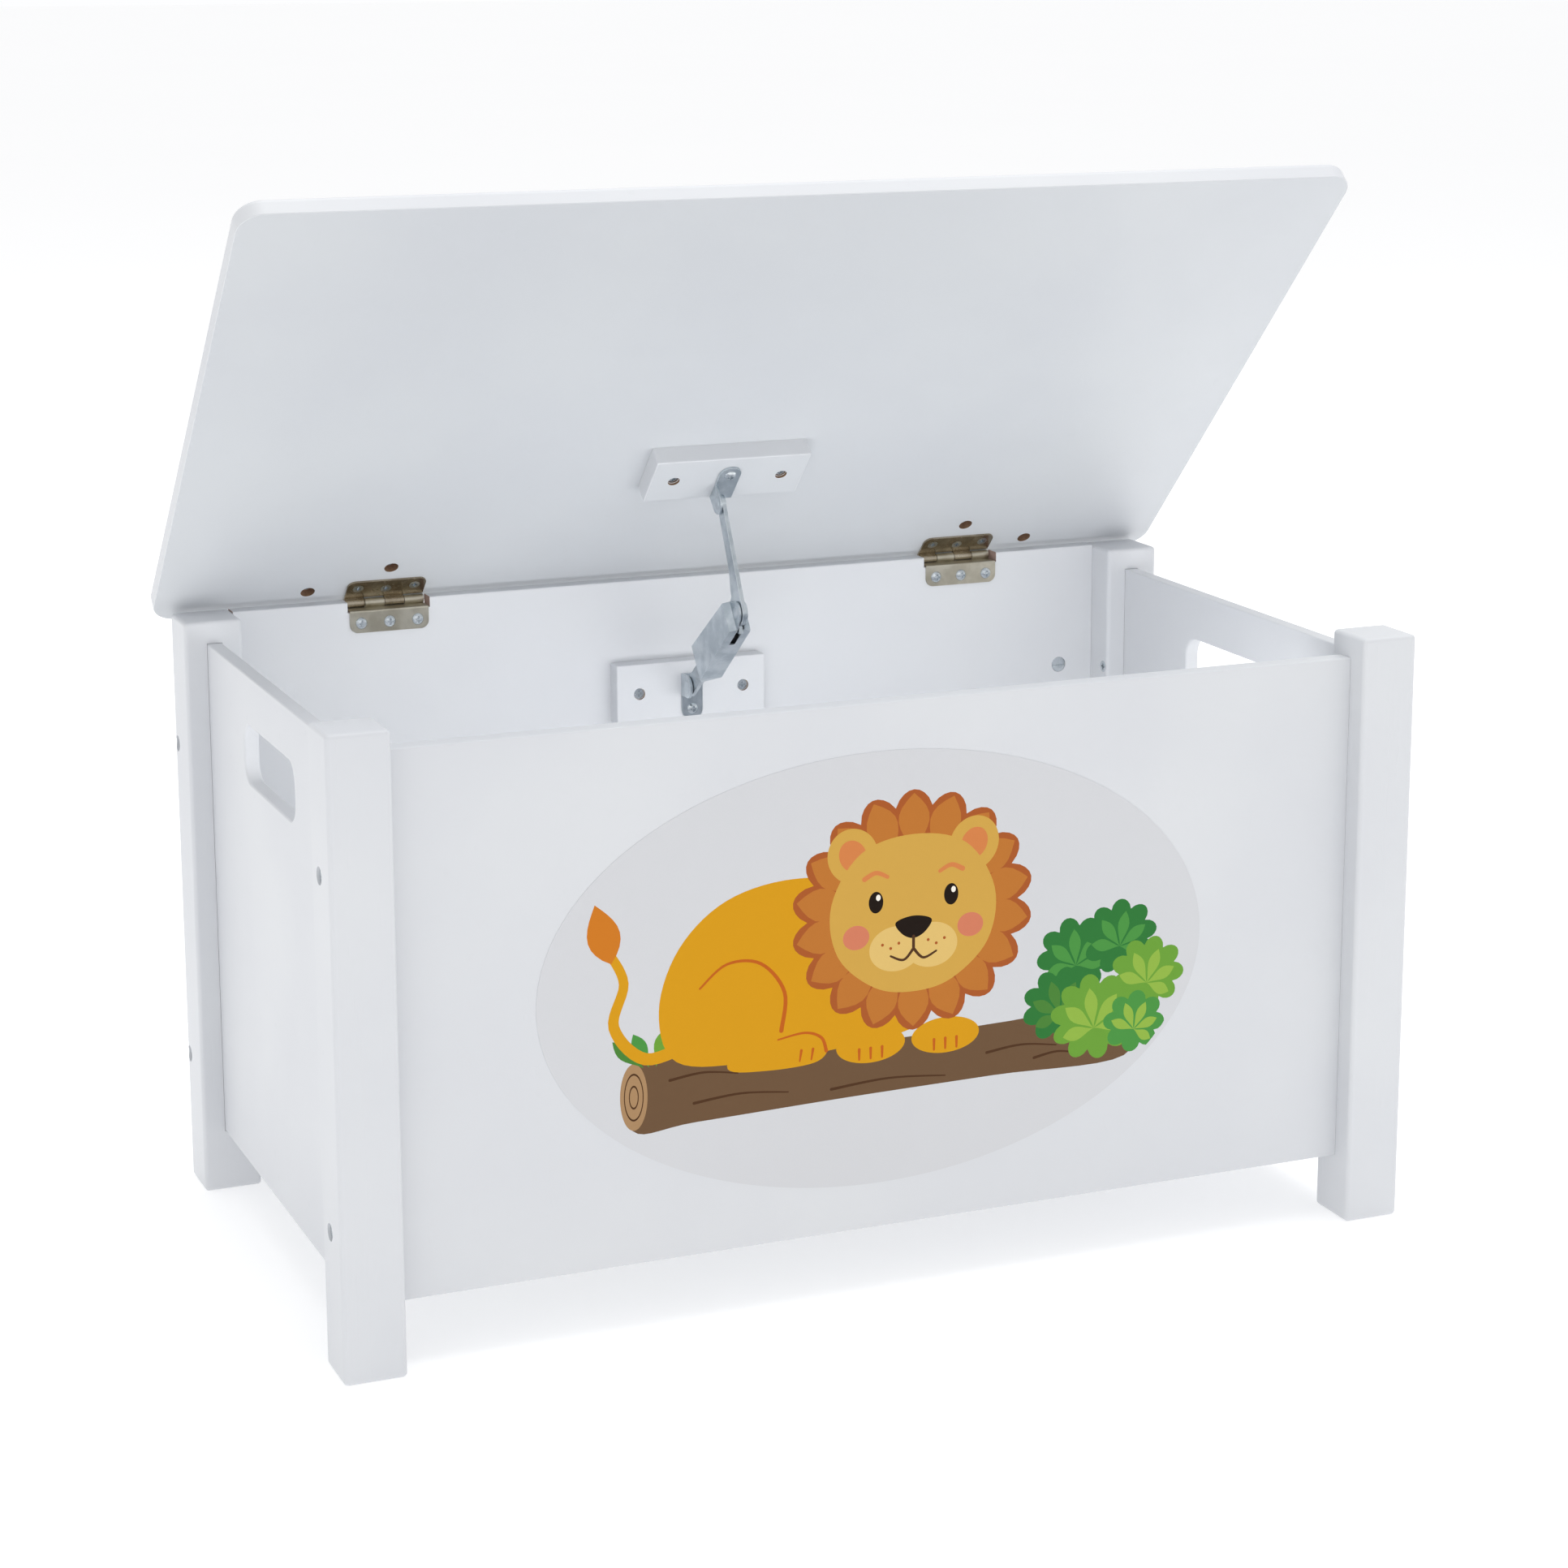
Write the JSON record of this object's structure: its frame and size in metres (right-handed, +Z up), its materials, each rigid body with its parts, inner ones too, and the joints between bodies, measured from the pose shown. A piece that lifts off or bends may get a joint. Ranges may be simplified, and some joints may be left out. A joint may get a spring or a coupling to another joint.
{
  "type": "wooden toy box",
  "caption": "White wooden toy box with square corner posts, hand-hold slots, an oval front picture and a hinged lid held open by a folding lid stay.",
  "frame": {"origin": "on the floor, under the centre of the whole box with its lid held open, 6.7 mm behind the middle of the posts' footprint", "axes": "+X to the right along the box's length, +Y to its rear (front at -Y), +Z up"},
  "size_m": [0.672, 0.3633, 0.6186],
  "materials": {
    "white_paint_wood": "satin white paint",
    "base_board_wood": "white foil",
    "picture_film": "matte print",
    "nickel_plate": "nickel plated",
    "zinc_steel": "zinc plated",
    "spring_steel": "oiled",
    "nylon": "moulded"
  },
  "bodies": {
    "box": {"post_front_left": "white_paint_wood", "post_front_right": "white_paint_wood", "post_rear_left": "white_paint_wood", "post_rear_right": "white_paint_wood", "front_panel": "white_paint_wood", "back_panel": "white_paint_wood", "left_side_panel": "white_paint_wood", "right_side_panel": "white_paint_wood", "base_board": "base_board_wood", "front_picture": "picture_film", "panel_bolts": "zinc_steel", "barrel_nuts": "zinc_steel", "side_panel_screws": "zinc_steel", "left_hinge_box_leaf": "nickel_plate", "left_hinge_pin": "nickel_plate", "right_hinge_box_leaf": "nickel_plate", "right_hinge_pin": "nickel_plate", "hinge_box_screws": "zinc_steel", "stay_lower_block": "white_paint_wood", "lower_block_screws": "zinc_steel", "stay_lower_bracket": "zinc_steel", "lower_bracket_screw": "zinc_steel", "stay_lower_rivet": "zinc_steel"},
    "lid": {"lid": "white_paint_wood", "lid_rear_screws": "zinc_steel", "left_hinge_lid_leaf": "nickel_plate", "right_hinge_lid_leaf": "nickel_plate", "hinge_lid_screws": "zinc_steel", "stay_upper_block": "white_paint_wood", "upper_block_screws": "zinc_steel", "stay_upper_bracket": "zinc_steel", "upper_bracket_screw": "zinc_steel", "stay_upper_rivet": "zinc_steel"},
    "stay_housing": {"stay_housing": "zinc_steel", "stay_knee_rivet": "zinc_steel", "stay_brake_shoe": "nylon", "stay_spring": "spring_steel"},
    "stay_arm": {"stay_arm": "zinc_steel"}
  },
  "joints": [
    {"name": "lid_hinge", "type": "hinge", "parent": "box", "child": "lid", "pos_m": [0, 0.1678, 0.352], "axis": [1, 0, 0], "range_deg": [-15, 45.6]},
    {"name": "stay_housing_pivot", "type": "hinge", "parent": "box", "child": "stay_housing", "pos_m": [0, 0.1343, 0.2885], "axis": [1, 0, 0], "range_deg": [-15.6, 47.2]},
    {"name": "stay_knee", "type": "hinge", "parent": "stay_housing", "child": "stay_arm", "pos_m": [0, 0.0518, 0.3513], "axis": [1, 0, 0], "range_deg": [-48.8, 16.2]}
  ],
  "couplings": [
    {"joint": "stay_housing_pivot", "follows": "lid_hinge", "ratio": 1.0268},
    {"joint": "stay_knee", "follows": "lid_hinge", "ratio": -1.0622}
  ]
}
